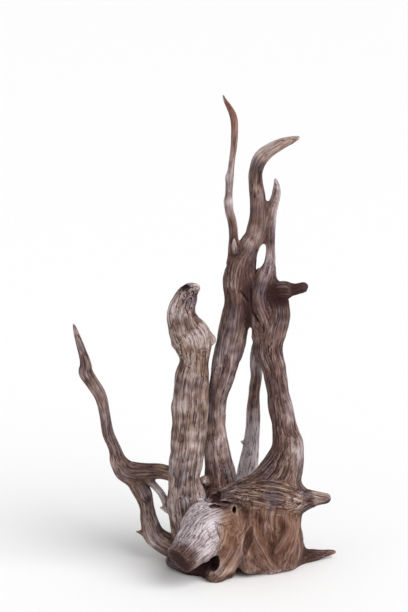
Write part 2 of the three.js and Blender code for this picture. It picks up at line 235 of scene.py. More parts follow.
ROOTS = (
    Limb("upper spur", 0, (
        (18, -38, 113, 6, 10), (42, -48, 121, 13.5, 22), (69, -54, 124, 21, 32), (99, -56, 121, 26, 38),
        (128, -54, 116, 22, 32), (149, -50, 114, 14, 20), (169, -47, 113, 9, 12), (188, -44, 113, 5, 6),
    ), SWEPT, fillet=18.0, figure=2.0),
    Limb("lower spur", 0, (
        (55, -30, 11, 17, 30), (89, -28, 10, 17, 30), (122, -20, 9, 14, 26), (151, -8, 8, 11, 16),
        (176, 2, 8, 8, 10), (203, 12, 9, 2.5, 3),
    ), SKIRT, fillet=10.0),
    Limb("right sweep", 1, (
        (124, -24, 172, 22, 26), (112, -34, 150, 23, 28), (92, -44, 134, 19, 26), (64, -48, 122, 13, 20),
        (32, -44, 114, 7, 12),
    ), SWEPT, fillet=14.0, figure=1.6),
    Limb("sweep crest", 1, (
        (118, -28, 168, 18, 22), (92, -40, 144, 17, 22), (66, -46, 129, 14, 20), (36, -45, 118, 8, 12),
    ), SWEPT, fillet=12.0, figure=2.1),
    Limb("spur shoulder", 0, (
        (128, -20, 194, 19.5, 24), (128, -30, 163, 19.5, 24), (127, -42, 134, 18, 24),
        (146, -49, 113, 14.5, 17), (162, -48, 112.5, 10.5, 13),
    ), SWEPT, fillet=8.0),
    Limb("spur end", 0, (
        (150, -49, 115, 12, 16), (170, -46, 114, 9.5, 11), (184, -44, 113.5, 7.5, 7.5),
    ), SWEPT, fillet=6.0),
    Limb("stump face", 2, (
        (94, -60, 116, 37, 30), (91, -58, 90, 41, 32), (93, -46, 52, 43, 35), (95, -40, 16, 43, 32),
    ), SKIRT, fillet=24.0, twist=-6.0, figure=1.9),
    Limb("face ridge", 1, (
        (132, -62, 96, 9, 10), (134, -68, 72, 9, 10), (128, -66, 44, 9, 9), (118, -60, 20, 8, 9),
    ), Weather(0.25, 0.4, 0.05, 0.5), fillet=10.0),
    Limb("left face fold", 1, (
        (47, -76, 108, 4, 4), (53, -85, 82, 5, 5), (57, -87.5, 55, 5.5, 6), (61, -84, 32, 6, 6),
        (65, -76, 14, 6, 7),
    ), Weather(0.25, 0.3, 0.0, 0.55), fillet=11.0),
    Limb("middle face fold", 0, (
        (70, -82, 98, 4, 4), (73, -86.5, 72, 5.5, 6), (83, -83, 47, 6, 6.5), (94, -74, 24, 7, 7),
        (104, -62, 10, 8, 8),
    ), SKIRT, fillet=12.0),
    Limb("right face fold", 0, (
        (116, -80, 104, 4, 4), (126, -79, 84, 5, 5), (121, -81, 62, 5.5, 6), (108, -81, 42, 4, 4),
    ), SKIRT, fillet=10.0),
    Limb("burl", 2, (
        (2, 10, 28, 42, 50), (44, 8, 30, 60, 66), (89, 4, 30, 62, 62), (125, 0, 30, 44, 44),
    ), SKIRT, fillet=14.0),
    Limb("front lobe", 2, (
        (58, -28, 89, 25, 26), (30, -54, 86, 35, 30), (6, -82, 77, 36, 30), (-15, -106, 60, 30, 25),
        (-37, -128, 44, 22, 20),
    ), PALE, fillet=6.0, tip=Tip.SAWN),
    Limb("lobe dome", 2, (
        (12, -66, 106, 16, 14), (7, -72, 97, 30, 22), (3, -80, 83, 37, 30), (-3, -89, 67, 37, 30),
        (-15, -103, 55, 30, 23),
    ), PALE, fillet=10.0, figure=0.8),
    Limb("sawn end", 1, (
        (-20, -108, 54, 25, 22), (-31, -121, 47, 23.5, 21), (-37, -129, 44, 22, 20),
    ), Weather(0.05, 0.35, 0.5, 0.1), fillet=4.0, figure=0.6, tip=Tip.SAWN),
    Limb("splinter", 0, (
        (-35, -127, 28, 4, 4), (-19, -121, 37, 4, 4.5), (-5, -112, 45, 3.5, 4), (8, -103, 53, 2.5, 2.5),
    ), Weather(0.45, 0.45, 0.0, 0.4), fillet=3.0, figure=0.3),
    Limb("lobe rim", 0, (
        (-8, -66, 118, 2.5, 3), (8, -72, 118, 2.5, 3), (28, -70, 116, 2.5, 3), (44, -66, 112, 2, 2),
    ), Weather(0.7, 0.1, 0.0, 0.2), fillet=3.0, figure=0.3),
    Limb("front foot", 1, (
        (62, -50, 103, 21, 20), (53, -70, 77, 22, 20), (43, -80, 45, 20, 19), (30, -86, 22, 18, 18),
        (14, -92, 5, 15, 15),
    ), Weather(0.2, 0.4, 0.1, 0.4), fillet=8.0),
    Limb("toe", 1, (
        (40, -78, 10, 10, 12), (18, -80, 7, 10, 11), (2, -76, 5, 8, 9),
    ), Weather(0.1, 0.25, 0.5, 0.3), fillet=6.0),
    Limb("draped root", 0, (
        (44, -72, 92, 9, 9), (52, -76, 64, 10, 9), (62, -77, 38, 9, 9), (74, -74, 14, 10, 10),
    ), Weather(0.3, 0.3, 0.05, 0.5), fillet=14.0),
    Limb("cave sill", 0, (
        (-42, -30, 12, 14, 22), (-22, -48, 9, 13, 24), (5, -58, 9, 13, 26), (40, -60, 12, 15, 26),
    ), Weather(0.05, 0.2, 0.7, 0.1), fillet=8.0),
    Limb("middle foot", 2, (
        (93, -56, 105, 24, 20), (87, -62, 72, 24, 20), (75, -62, 39, 19.5, 19), (63, -62, 17, 15, 18),
    ), SKIRT, fillet=20.0, figure=1.8),
    Limb("right foot", 1, (
        (127, -44, 110, 21, 22), (124, -40, 71, 20, 24), (127, -36, 36, 20, 22), (122, -34, 12, 18, 22),
    ), SKIRT, fillet=20.0, figure=1.8),
    Limb("left arm", 1, (
        (-198, 26, 367, 2, 2), (-193, 26, 349, 5, 5), (-186, 25, 326, 7, 7), (-180, 24, 305, 9, 8),
        (-180, 23, 291, 11, 9), (-170, 22, 275, 10, 9), (-158, 20, 255, 9.5, 9), (-152, 18, 229, 8.5, 8.5),
        (-147, 15, 200, 9.5, 9), (-137, 12, 175, 9.5, 10), (-130, 9, 153, 13.5, 12), (-116, 6, 139, 18, 13),
        (-90, 2, 140, 14, 12), (-67, -4, 143, 11.5, 11), (-39, -18, 141, 11.5, 12),
    ), ROOTY, fillet=6.0),
    Limb("arm strut", 2, (
        (-120, 8, 143, 11, 10), (-105, 5, 124, 13, 12), (-94, 2, 107, 14, 12), (-87, 0, 83, 11.5, 11),
        (-84, -1, 63, 14, 12), (-76, -2, 40, 17, 14), (-58, -4, 27, 17, 16), (-34, -6, 20, 18, 20),
    ), ROOTY, fillet=6.0),
    Limb("arm twig", 0, (
        (-89, 1, 131, 4.5, 5), (-76, -4, 121, 4, 4), (-66, -10, 111, 4, 4), (-59, -15, 99, 4.5, 5),
        (-54, -20, 87, 7, 7),
    ), Weather(0.5, 0.1, 0.1, 0.3), fillet=4.0, figure=0.4),
    Limb("twig swelling", 0, (
        (-88, 0, 130, 5.5, 5.5), (-76, -5, 121, 5.5, 5), (-66, -10, 111, 5.5, 5), (-58, -16, 98, 6.5, 6),
    ), Weather(0.5, 0.1, 0.1, 0.3), fillet=4.0, figure=0.4),
    Limb("twig thorn", 1, (
        (-49, -20, 89, 7.5, 7), (-59, -17, 88, 4.5, 5), (-68, -14, 89, 1, 1.5),
    ), ROOTY, fillet=3.0, figure=0.4),
    Limb("strut thorn", 0, (
        (-80, 0, 42, 9, 9), (-92, 2, 43, 5.5, 6), (-105, 4, 44, 1, 1.5),
    ), ROOTY, fillet=5.0, figure=0.4),
    Limb("left back root", 1, (
        (14, 28, 34, 40, 38), (-6, 72, 18, 28, 30), (-29, 104, 6, 19, 22), (-45, 132, -5, 9.5, 12),
    ), ROOTY, facing=Facing.UPWARDS, fillet=14.0),
    Limb("right back root", 1, (
        (88, 30, 34, 40, 38), (106, 80, 16, 26, 29), (127, 112, 2, 16, 19), (140, 134, -6, 8, 10),
    ), ROOTY, facing=Facing.UPWARDS, fillet=14.0),
)


@dataclass(frozen=True)
class Relief:
    """One kind of unevenness of the skin.

    Attributes:
        height: how far it stands out or cuts in.
        size: how big its features are across, through and along.
    """

    height: float
    size: tuple[float, float, float]


@dataclass(frozen=True)
class Hollow:
    """An egg-shaped hollow that rot has left in the wood.

    Attributes:
        name: what the hollow is.
        centre: the middle of the egg.
        radii: its half sizes before it is turned.
        turn: degrees about X, Y and Z.
        hollow_shade: how far its inside is darkened as painted shade, from 0 to 1.
    """

    name: str
    centre: tuple[float, float, float]
    radii: tuple[float, float, float]
    turn: tuple[float, float, float] = (0.0, 0.0, 0.0)
    hollow_shade: float = 0.9


# The last number of each hollow darkens its inside as painted shade.
HOLLOWS = (
    Hollow("head hollow", (-32, -40, 436), (12, 9, 5), (-14, -20, 0), 0.75),
    Hollow("cave", (-6, -98, 25), (25, 26, 9), (0, -33, 0), 0.95),
    Hollow("cave throat", (13, -92, 31), (10, 26, 14), (0, -12, 0), 1.0),
    Hollow("crevice", (13, -64, 119), (13, 18, 4), (0, -14, 0), 1.0),
    Hollow("crevice peak", (21, -61, 124), (4, 14, 6.5), (0, -20, 0), 1.0),
    Hollow("crevice tail", (31, -74, 116), (13, 9, 2), (0, 8, 0), 0.9),
    Hollow("under crack", (18, -84, 112.5), (11, 8, 2), (0, 14, 0), 0.9),
    Hollow("saw face", (-40.5, -132.5, 41.5), (50, 50, 6), (-39, 54, 0), 0.0),
    Hollow("eye", (86, 9, 475), (6.2, 40, 19.5), (0, 10, 0), 0.2),
    Hollow("stem crotch", (69, 0, 362), (2.4, 40, 11), (0, 3, 0), 0.2),
    Hollow("fold crease end", (89, -26, 371), (2, 8, 11), (0, 4, 0), 0.8),
    Hollow("shoulder notch", (25, 0, 459), (9.5, 30, 6), (0, 0, 0), 0.4),
    Hollow("peep hole", (45, -80, 107), (2.8, 12, 5), (0, 18, 0), 1.0),
    Hollow("lobe slot", (-39, -86, 74), (4, 14, 12), (0, 8, 0), 0.95),
    Hollow("stem crease", (59, -19, 420), (2.2, 7, 15), (0, -38, 0), 0.7),
    Hollow("fold crease", (70, -23, 424), (2.2, 9, 25), (0, 0, 0), 0.8),
    Hollow("fold crease foot", (77, -24, 388), (2.2, 9, 17), (0, -30, 0), 0.8),
    Hollow("face scoop", (66, -103, 62), (8, 18, 30), (0, 10, 0), 0.3),
    Hollow("face scoop right", (106, -107, 60), (9, 23, 28), (0, -12, 0), 0.2),
)


@dataclass(frozen=True)
class Stain:
    """A cloud of colour on the wood, strongest in its middle; some of them are painted shade, painted
    shadows, painted highlights and painted light.

    Attributes:
        centre: the middle of the cloud.
        radii: its half sizes.
        change: what it adds to the wood's weather, less than nothing where it takes away.
    """

    centre: tuple[float, float, float]
    radii: tuple[float, float, float]
    change: Weather


STAINS = tuple(
    Stain(centre, radii, Weather(*change))
    for centre, radii, change in (
        ((-41, -138, 41), (23, 17, 23), (-1.4, 0.5, 1.25, -0.3)),
        ((-4, -114, 40), (26, 12, 9), (-0.3, 0.3, 0.0, 0.3)),
        ((-30, -50, 425), (22, 30, 28), (0.0, 0.0, 0.03, -0.1)),
        ((-25, -55, 195), (35, 35, 50), (-0.05, 0.15, -0.05, 0.35)),
        ((-26, -50, 345), (30, 35, 14), (-0.15, 0.1, 0.2, 0.0)),
        ((38, -5, 692), (20, 20, 45), (-0.3, 0.7, 0.0, 0.0)),
        ((108, 15, 640), (45, 20, 30), (0.06, 0.25, 0.0, 0.8)),
        ((48, -14, 435), (30, 30, 42), (-0.1, 0.25, 0.25, 0.0)),
        ((24, -14, 195), (26, 34, 62), (0.15, 0.3, -0.2, 0.5)),
        ((110, -20, 400), (30, 30, 32), (-0.1, 0.15, 0.2, 0.0)),
        # Painted highlight: a pale stripe down the right edge of the right stem.
        ((130, -16, 270), (12, 26, 90), (0.3, 0.0, -0.1, 0.1)),
        ((104, -85, 66), (50, 40, 46), (-0.12, 0.8, 0.16, 0.2)),
        ((146, -16, 12), (56, 46, 18), (-0.1, 0.32, 0.56, 0.3)),
        ((30, -14, 300), (30, 34, 110), (0.12, 0.0, -0.14, 0.15)),
        ((112, -20, 300), (34, 34, 150), (-0.05, 0.05, 0.14, 0.0)),
        ((-88, 0, 80), (24, 24, 50), (-0.15, 0.15, 0.34, 0.0)),
        ((36, -95, 62), (18, 28, 46), (0.05, 0.4, -0.05, 0.4)),
        ((84, -64, 136), (36, 26, 13), (-0.1, 0.1, 0.2, 0.1)),
        # Painted light: a stretch of the rear stem that lies in shade is whitened as if lit.
        ((66, 42, 128), (28, 36, 66), (1.9, 0.1, -0.7, 0.1)),
        ((77, 38, 256), (20, 26, 66), (-0.8, 0.25, 0.14, 0.25)),
        ((-74, -6, 58), (12, 20, 32), (0.35, 0.0, -0.1, 0.0)),
        ((-80, -6, 142), (42, 22, 14), (-0.15, 0.15, 0.3, 0.1)),
        ((20, -96, 6), (26, 24, 9), (-0.2, 0.2, 0.45, 0.0)),
        # Painted shade: darkening along the fold crease.
        ((68, -22, 402), (6, 16, 46), (-0.3, 0.1, 0.75, -0.1)),
        ((46, -14, 482), (12, 14, 12), (-0.1, 0.1, 0.35, 0.0)),
        # Painted shade: darkening inside the cave.
        ((-8, -86, 16), (26, 30, 14), (-0.5, 0.1, 0.75, 0.0)),
        ((40, -98, 8), (9, 16, 8), (-0.3, 0.7, 0.4, 0.0)),
        ((38, -90, 86), (17, 26, 24), (-0.65, 0.3, 0.05, 0.5)),
        ((118, -86, 80), (4, 16, 14), (-0.1, 0.1, 0.25, 0.0)),
        # Painted highlight: the upper left of the lobe is lightened.
        ((-12, -96, 98), (22, 26, 24), (0.5, -0.1, -0.25, 0.0)),
        ((-26, -58, 158), (32, 34, 44), (0.22, 0.0, -0.2, 0.3)),
        ((-165, 20, 250), (46, 26, 90), (-0.05, 0.05, 0.14, 0.0)),
        ((80, 8, 556), (22, 26, 46), (-0.1, 0.0, 0.14, 0.0)),
        ((29, -102, 64), (18, 26, 34), (-0.66, 0.22, 0.05, 0.26)),
        # Painted shade: darkening in the crevice.
        ((16, -66, 120), (15, 24, 8), (-0.7, 0.0, 0.7, 0.0)),
        # Painted shade: darkening in the crack below the crevice.
        ((30, -83, 110), (8, 14, 5), (-0.4, 0.0, 0.5, -0.2)),
        # Painted highlight: a pale patch on the right edge of the spur shoulder.
        ((144, -48, 176), (9, 24, 26), (0.4, 0.0, -0.1, 0.1)),
        ((84, -91, 92), (4, 12, 9), (-0.1, 0.0, 0.45, -0.1)),
        ((62, -90, 72), (3.5, 12, 13), (-0.1, 0.0, 0.4, -0.1)),
        ((103, -81, 48), (4, 14, 16), (-0.1, 0.0, 0.3, -0.1)),
        ((96, -86, 66), (44, 30, 38), (-0.05, 0.1, 0.1, 0.0)),
        ((114, -44, 172), (26, 34, 30), (-0.1, 0.1, 0.22, 0.0)),
        ((162, -54, 116), (22, 20, 12), (-0.05, 0.0, 0.22, 0.0)),
        ((74, -80, 10), (15, 18, 11), (-0.3, 0.1, 0.45, 0.0)),
        ((26, -16, 214), (24, 24, 34), (0.12, 0.0, -0.1, 0.1)),
        ((186, -48, 108), (12, 14, 6), (-0.3, 0.0, 0.7, 0.0)),
        # Painted shadow: darkening at the left of the knot.
        ((99, -22, 426), (8, 16, 15), (-0.3, 0.0, 0.5, -0.2)),
        # Painted shadow: darkening under the knot.
        ((118, -20, 411), (15, 16, 6), (-0.2, 0.1, 0.4, -0.1)),
        ((84, -76, 140), (40, 24, 16), (-0.05, 0.1, 0.1, 0.15)),
    )
)


class WoodNoise:
    """Smooth seeded noise through space, about -1 to 1."""

    def __init__(self, seed: int) -> None:
        """Draws the lattice.

        Args:
            seed: a different seed gives a different lattice.
        """
        source = np.random.default_rng(seed)
        self.order = np.tile(source.permutation(256), 2)
        slopes = source.normal(size=(256, 3))
        self.slopes = slopes / np.linalg.norm(slopes, axis=1, keepdims=True)

    def at(self, points: np.ndarray, size: float | Sequence[float]) -> np.ndarray:
        """The noise at some points.

        Args:
            points: one point to a row.
            size: the size of its features, or one size for each axis.

        Returns:
            One value for each point.
        """
        scaled = points / np.asarray(size, float)
        cell = np.floor(scaled).astype(np.int64)
        inside = scaled - cell
        fade = inside**3 * (inside * (inside * 6 - 15) + 10)
        total = np.zeros(len(points))
        for corner in product((0, 1), repeat=3):
            step = np.array(corner)
            place = (cell + step) & 255
            key = self.order[self.order[self.order[place[:, 0]] + place[:, 1]] + place[:, 2]]
            rise = np.einsum("ij,ij->i", self.slopes[key], inside - step)
            total += rise * np.prod(np.where(step, fade, 1 - fade), axis=1)
        return total * 1.6


def smooth_step(low: float, high: float, value: np.ndarray) -> np.ndarray:
    """Rises from 0 at low to 1 at high, or falls where low is the greater.

    Args:
        low: where it is 0.
        high: where it is 1.
        value: what is compared.

    Returns:
        The eased value.
    """
    share = np.clip((value - low) / (high - low), 0, 1)
    return share * share * (3 - 2 * share)


class Course:
    """A limb's course, sampled closely: its middle line, its cross directions and its sizes."""

    SPACING = 3.0
    THINNEST = 1.9
    REACH = 45.0  # how far from its skin a limb still matters

    def __init__(self, limb: Limb) -> None:
        """Samples the limb.

        Args:
            limb: the limb to follow.
        """
        self.limb = limb
        stations = np.array(limb.stations, float)
        row = self._through(stations)
        lengths = np.concatenate([[0], np.cumsum(np.linalg.norm(np.diff(row[:, :3], axis=0), axis=1))])
        count = max(6, int(lengths[-1] / self.SPACING))
        self.distance = np.linspace(0, lengths[-1], count)
        even = np.stack([np.interp(self.distance, lengths, row[:, i]) for i in range(5)], axis=1)
        self.middle = even[:, :3]
        self.half = even[:, 3:]
        self.along = np.gradient(self.middle, self.distance, axis=0)
        self.along /= np.linalg.norm(self.along, axis=1, keepdims=True)
        facing = np.array(limb.facing.value)
        self.depth = facing - self.along * (self.along @ facing)[:, None]
        self.depth /= np.linalg.norm(self.depth, axis=1, keepdims=True)
        self.width = np.cross(self.along, self.depth)
        self.growth = np.gradient(self.half, self.distance, axis=0)
        reach = self.half.max() + self.REACH
        self.low = self.middle.min(0) - reach
        self.high = self.middle.max(0) + reach

    @staticmethod
    def _through(stations: np.ndarray) -> np.ndarray:
        """A smooth curve through the stations.

        Args:
            stations: one station to a row.

        Returns:
            Many points of the curve, one to a row.
        """
        ends = np.vstack([2 * stations[0] - stations[1], stations, 2 * stations[-1] - stations[-2]])
        pieces = []
        for i in range(1, len(ends) - 2):
            before, start, end, after = ends[i - 1 : i + 3]
            t = np.linspace(0, 1, 24, endpoint=False)[:, None]
            pieces.append(
                0.5
                * (
                    2 * start
                    + (end - before) * t
                    + (2 * before - 5 * start + 4 * end - after) * t**2
                    + (3 * start - before - 3 * end + after) * t**3
                )
            )
        pieces.append(stations[-1:])
        return np.vstack(pieces)

    def measure(self, points: np.ndarray) -> tuple[np.ndarray, np.ndarray]:
        """Where points lie by this limb's own measure.

        Args:
            points: one point to a row, all of them near the limb.

        Returns:
            How far each is outside the limb's skin, and its place across, through and along the limb.
        """
        square = (self.middle**2).sum(1)[None, :] - 2 * points @ self.middle.T
        nearest = square.argmin(axis=1)
        offset = points - self.middle[nearest]
        ahead = np.einsum("ij,ij->i", offset, self.along[nearest])
        across = np.einsum("ij,ij->i", offset, self.width[nearest])
        through = np.einsum("ij,ij->i", offset, self.depth[nearest])
        last = len(self.middle) - 1
        over = np.where((nearest == last) & (ahead > 0), ahead, 0)
        over = over + np.where((nearest == 0) & (ahead < 0), -ahead, 0)
        half = self.half[nearest] + self.growth[nearest] * (ahead - np.sign(ahead) * over)[:, None]
        half = np.maximum(half, self.THINNEST)
        reach = np.hypot(across, through)
        ratio = np.sqrt((across / half[:, 0]) ** 2 + (through / half[:, 1]) ** 2)
        radius = np.where(ratio > 1e-6, reach / np.maximum(ratio, 1e-6), half.min(axis=1))
        side = reach - radius
        if self.limb.tip is Tip.SAWN:
            gap = np.where(over > 0, np.hypot(np.maximum(side, 0), over), side)
        else:
            cap = 0.7 * half.min(axis=1)
            gap = np.where(over > 0, (np.sqrt(ratio**2 + (over / cap) ** 2) - 1) * radius, side)
        turn = math.radians(self.limb.twist) * (self.distance[nearest] + ahead) / 100
        place = np.stack(
            [
                across * np.cos(turn) - through * np.sin(turn),
                across * np.sin(turn) + through * np.cos(turn),
                self.distance[nearest] + ahead,
            ],
            axis=1,
        )
        return gap, place

    def near(self, points: np.ndarray) -> np.ndarray:
        """Which points are close enough for the limb to matter."""
        return ((points > self.low) & (points < self.high)).all(axis=1)

    def tube(self) -> bpy.types.Object:
        """Models the limb as a closed tube, drawn out ring by ring and then laid along its course.

        Returns:
            The tube, in metres.
        """
        step = max(4.0, 0.55 * float(self.half.mean()))
        rings = max(4, int(self.distance[-1] / step))
        picks = np.linspace(0, len(self.distance) - 1, rings + 1).round().astype(int)
        sides = 20 if self.half.max() > 12 else 12
        bpy.ops.object.select_all(action="DESELECT")
        bpy.ops.mesh.primitive_circle_add(vertices=sides, radius=MM, fill_type="NGON")
        tube = bpy.context.object
        bpy.ops.object.mode_set(mode="EDIT")
        bpy.ops.mesh.select_all(action="SELECT")
        size = np.array([1.0, 1.0])
        height = 0.0
        for i, pick in enumerate(picks):
            if i:
                rise = (self.distance[pick] - height) * MM
                bpy.ops.mesh.extrude_region_move(TRANSFORM_OT_translate={"value": (0, 0, rise)})
            height = self.distance[pick]
            wanted = np.maximum(self.half[pick], self.THINNEST)
            bpy.ops.transform.resize(
                value=(wanted[0] / size[0], wanted[1] / size[1], 1), center_override=(0, 0, height * MM)
            )
            size = wanted
        bpy.ops.object.mode_set(mode="OBJECT")
        self._lay_along(tube)
        return tube

    def _lay_along(self, tube: bpy.types.Object) -> None:
        """Moves an upright tube's rings onto the course.

        Args:
            tube: a tube whose height is its distance along the limb.
        """
        places = read_points(tube)
        height = places[:, 2]
        laid = np.stack([np.interp(height, self.distance, self.middle[:, i]) for i in range(3)], axis=1)
        for axis, directions in ((0, self.width), (1, self.depth)):
            facing = np.stack([np.interp(height, self.distance, directions[:, i]) for i in range(3)], axis=1)
            laid += facing * places[:, axis : axis + 1]
        write_points(tube, laid)
        bpy.ops.object.mode_set(mode="EDIT")
        bpy.ops.mesh.select_all(action="SELECT")
        bpy.ops.mesh.normals_make_consistent(inside=False)
        bpy.ops.object.mode_set(mode="OBJECT")


def read_vectors(items: bpy.types.bpy_prop_collection, name: str) -> np.ndarray:
    """Reads three numbers from each item of a mesh.

    Args:
        items: the mesh's vertices or normals.
        name: what is read.

    Returns:
        One item to a row.
    """
    flat = np.empty(len(items) * 3, np.float32)
    items.foreach_get(name, flat)
    return flat.reshape(-1, 3).astype(float)


def read_points(piece: bpy.types.Object) -> np.ndarray:
    """The places of a piece's vertices, in millimetres."""
    return read_vectors(piece.data.vertices, "co") / MM


def write_points(piece: bpy.types.Object, places: np.ndarray) -> None:
    """Moves a piece's vertices.

    Args:
        piece: the piece to change.
        places: the new places, in millimetres.
    """
    piece.data.vertices.foreach_set("co", (places * MM).astype(np.float32).ravel())
    piece.data.update()


class Skeleton:
    """All the limbs together, grown into one form."""

    LEAST_SLOPE = 0.35
    PROBE = 0.7  # how far out the slope of the gap is felt for
    WEATHER_REACH = 5.0  # how far a limb's weather bleeds into its neighbour
    STRAND_REACH = 3.5  # how far one strand's grain fades into another's

    def __init__(self, limbs: Iterable[Limb], hollows: Sequence[Hollow]) -> None:
        """Samples every limb.

        Args:
            limbs: the limbs, the larger of two that meet first.
            hollows: what is eaten out of them.
        """
        self.courses = [Course(limb) for limb in limbs]
        self.hollows = hollows

    def gap(self, points: np.ndarray) -> np.ndarray:
        """How far points are outside the grown form, less than nothing inside it.

        Args:
            points: one point to a row.

        Returns:
            One distance for each point.
        """
        total = np.full(len(points), FAR)
        for course in self.courses:
            close = course.near(points)
            gap, _ = course.measure(points[close])
            fillet = course.limb.fillet
            so_far = total[close]
            share = np.clip(0.5 + 0.5 * (so_far - gap) / fillet, 0, 1)
            total[close] = so_far + (gap - so_far) * share - fillet * share * (1 - share)
        return total

    def settle(self, points: np.ndarray, normals: np.ndarray, limit: float) -> np.ndarray:
        """Moves points along their normals onto the grown form.

        Args:
            points: one point to a row.
            normals: the direction that each point faces.
            limit: the longest move.

        Returns:
            The new points.
        """
        here = self.gap(points)
        slope = (self.gap(points + normals * self.PROBE) - here) / self.PROBE
        move = np.clip(-here / np.maximum(slope, self.LEAST_SLOPE), -limit, limit)
        move[here > 0.5 * FAR] = 0
        return points + normals * move[:, None]

    def grain(self, points: np.ndarray) -> tuple[np.ndarray, np.ndarray, np.ndarray, np.ndarray]:
        """The grain at points of the skin.

        Args:
            points: one point to a row.

        Returns:
            The place of each point in each strand's own measure, each strand's share, the four amounts of
            weather, and how deep the figure is and how thick the limb is.
        """
        count = len(points)
        best = np.full((STRANDS, count), FAR)
        places = np.zeros((STRANDS, count, 3))
        blend = np.zeros(count)
        weather = np.zeros((count, 4))
        build = np.zeros((count, 2))
        for number, course in enumerate(self.courses):
            close = np.flatnonzero(course.near(points))
            gap, place = course.measure(points[close])
            strand = course.limb.strand
            closer = gap < best[strand, close]
            chosen = close[closer]
            best[strand, chosen] = gap[closer]
            places[strand, chosen] = place[closer] + np.array([0, 0, 731.0 * number])
            pull = np.exp(-np.clip(gap, -6, 60) / self.WEATHER_REACH)
            blend[close] += pull
            weather[close] += pull[:, None] * np.array(course.limb.weather.as_row())
            thickness = float(np.median(course.half))
            build[close] += pull[:, None] * np.array([course.limb.figure, thickness])
        share = np.exp(-(best - best.min(axis=0)) / self.STRAND_REACH)
        share /= share.sum(axis=0)
        blend = np.maximum(blend, 1e-9)[:, None]
        return places, share, weather / blend, build / blend


